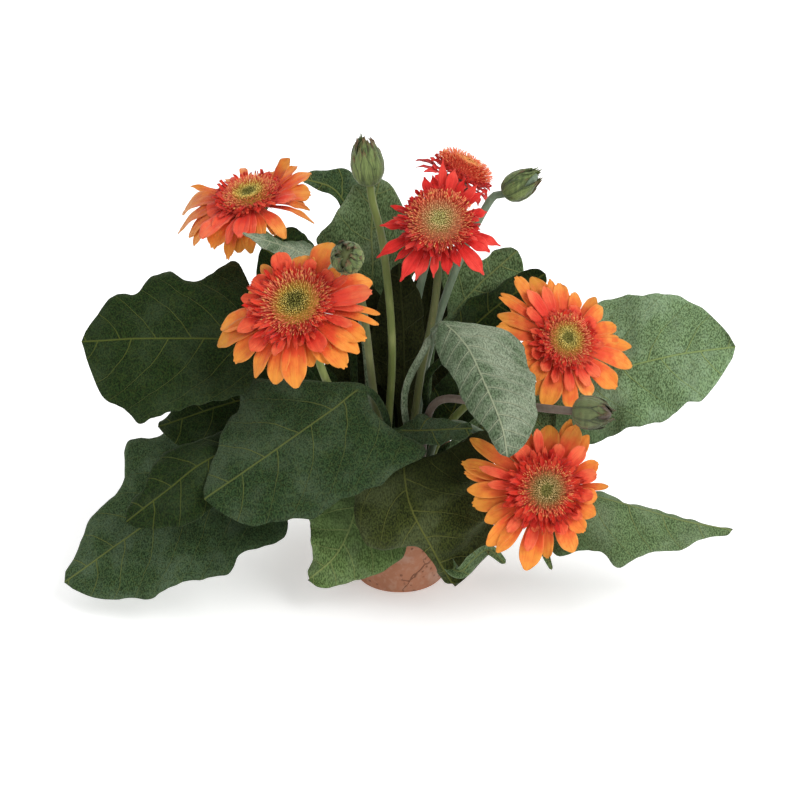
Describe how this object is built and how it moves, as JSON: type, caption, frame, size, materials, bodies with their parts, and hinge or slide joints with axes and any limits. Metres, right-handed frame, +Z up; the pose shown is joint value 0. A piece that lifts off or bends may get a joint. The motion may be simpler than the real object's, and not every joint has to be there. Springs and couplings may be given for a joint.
{
  "type": "potted gerbera",
  "caption": "Potted gerbera with velvety lobed leaves, orange and red double blooms and closed buds on tall stems, in a tapered terracotta pot.",
  "frame": {"origin": "middle of the pot's foot, on the surface that the pot stands on", "axes": "+Z up, -Y towards the side that the picture shows, +X along the plant's widest spread, to the picture's right"},
  "size_m": [0.504, 0.2362, 0.3512],
  "materials": {
    "leaf_dark": "velvety dark green",
    "leaf_mid": "velvety mid green",
    "leaf_pale": "velvety pale sage",
    "petal_orange": "matte orange",
    "petal_coral": "matte coral",
    "petal_red": "matte red",
    "disc_gold": "fine gold florets",
    "disc_red": "fine orange and red florets",
    "stem_green": "matte green",
    "bud_green": "matte green with dry brown tips",
    "terracotta": "unglazed, worn",
    "soil_brown": "crumbly potting mix"
  },
  "bodies": {
    "root": {"pot": "terracotta", "soil": "soil_brown", "leaf_left_high": "leaf_dark", "leaf_left_low": "leaf_dark", "leaf_front_big": "leaf_dark", "leaf_back_centre": "leaf_dark", "leaf_back_left_tip": "leaf_dark", "leaf_left_dark_high": "leaf_dark", "leaf_right_back_dark": "leaf_dark", "leaf_inner_left": "leaf_dark", "leaf_inner_dark": "leaf_dark", "leaf_back_right": "leaf_dark", "leaf_back_low_left": "leaf_dark", "leaf_left_fold": "leaf_mid", "leaf_left_grey": "leaf_mid", "leaf_front_light": "leaf_mid", "leaf_front_drape": "leaf_mid", "leaf_right_high": "leaf_mid", "leaf_right_low": "leaf_mid", "leaf_right_back_grey": "leaf_mid", "leaf_inner_right": "leaf_mid", "leaf_inner_green": "leaf_mid", "leaf_inner_front": "leaf_mid", "leaf_back_left": "leaf_mid", "leaf_back_low_right": "leaf_mid", "leaf_centre_pale": "leaf_pale", "leaf_left_pale_fold": "leaf_pale", "bloom_1_stem": "stem_green", "bloom_1_rays": "petal_orange", "bloom_1_inner_rays": "petal_coral", "bloom_1_disc": "disc_gold", "bloom_2_stem": "stem_green", "bloom_2_rays": "petal_orange", "bloom_2_inner_rays": "petal_coral", "bloom_2_disc": "disc_gold", "bloom_3_stem": "stem_green", "bloom_3_rays": "petal_red", "bloom_3_inner_rays": "petal_red", "bloom_3_disc": "disc_red", "bloom_4_stem": "stem_green", "bloom_4_rays": "petal_red", "bloom_4_inner_rays": "petal_red", "bloom_4_disc": "disc_red", "bloom_5_stem": "stem_green", "bloom_5_rays": "petal_orange", "bloom_5_inner_rays": "petal_coral", "bloom_5_disc": "disc_gold", "bloom_6_stem": "stem_green", "bloom_6_rays": "petal_orange", "bloom_6_inner_rays": "petal_coral", "bloom_6_disc": "disc_gold", "bud_1": "bud_green", "bud_2": "bud_green", "bud_3": "bud_green", "bud_4": "bud_green"}
  },
  "joints": []
}
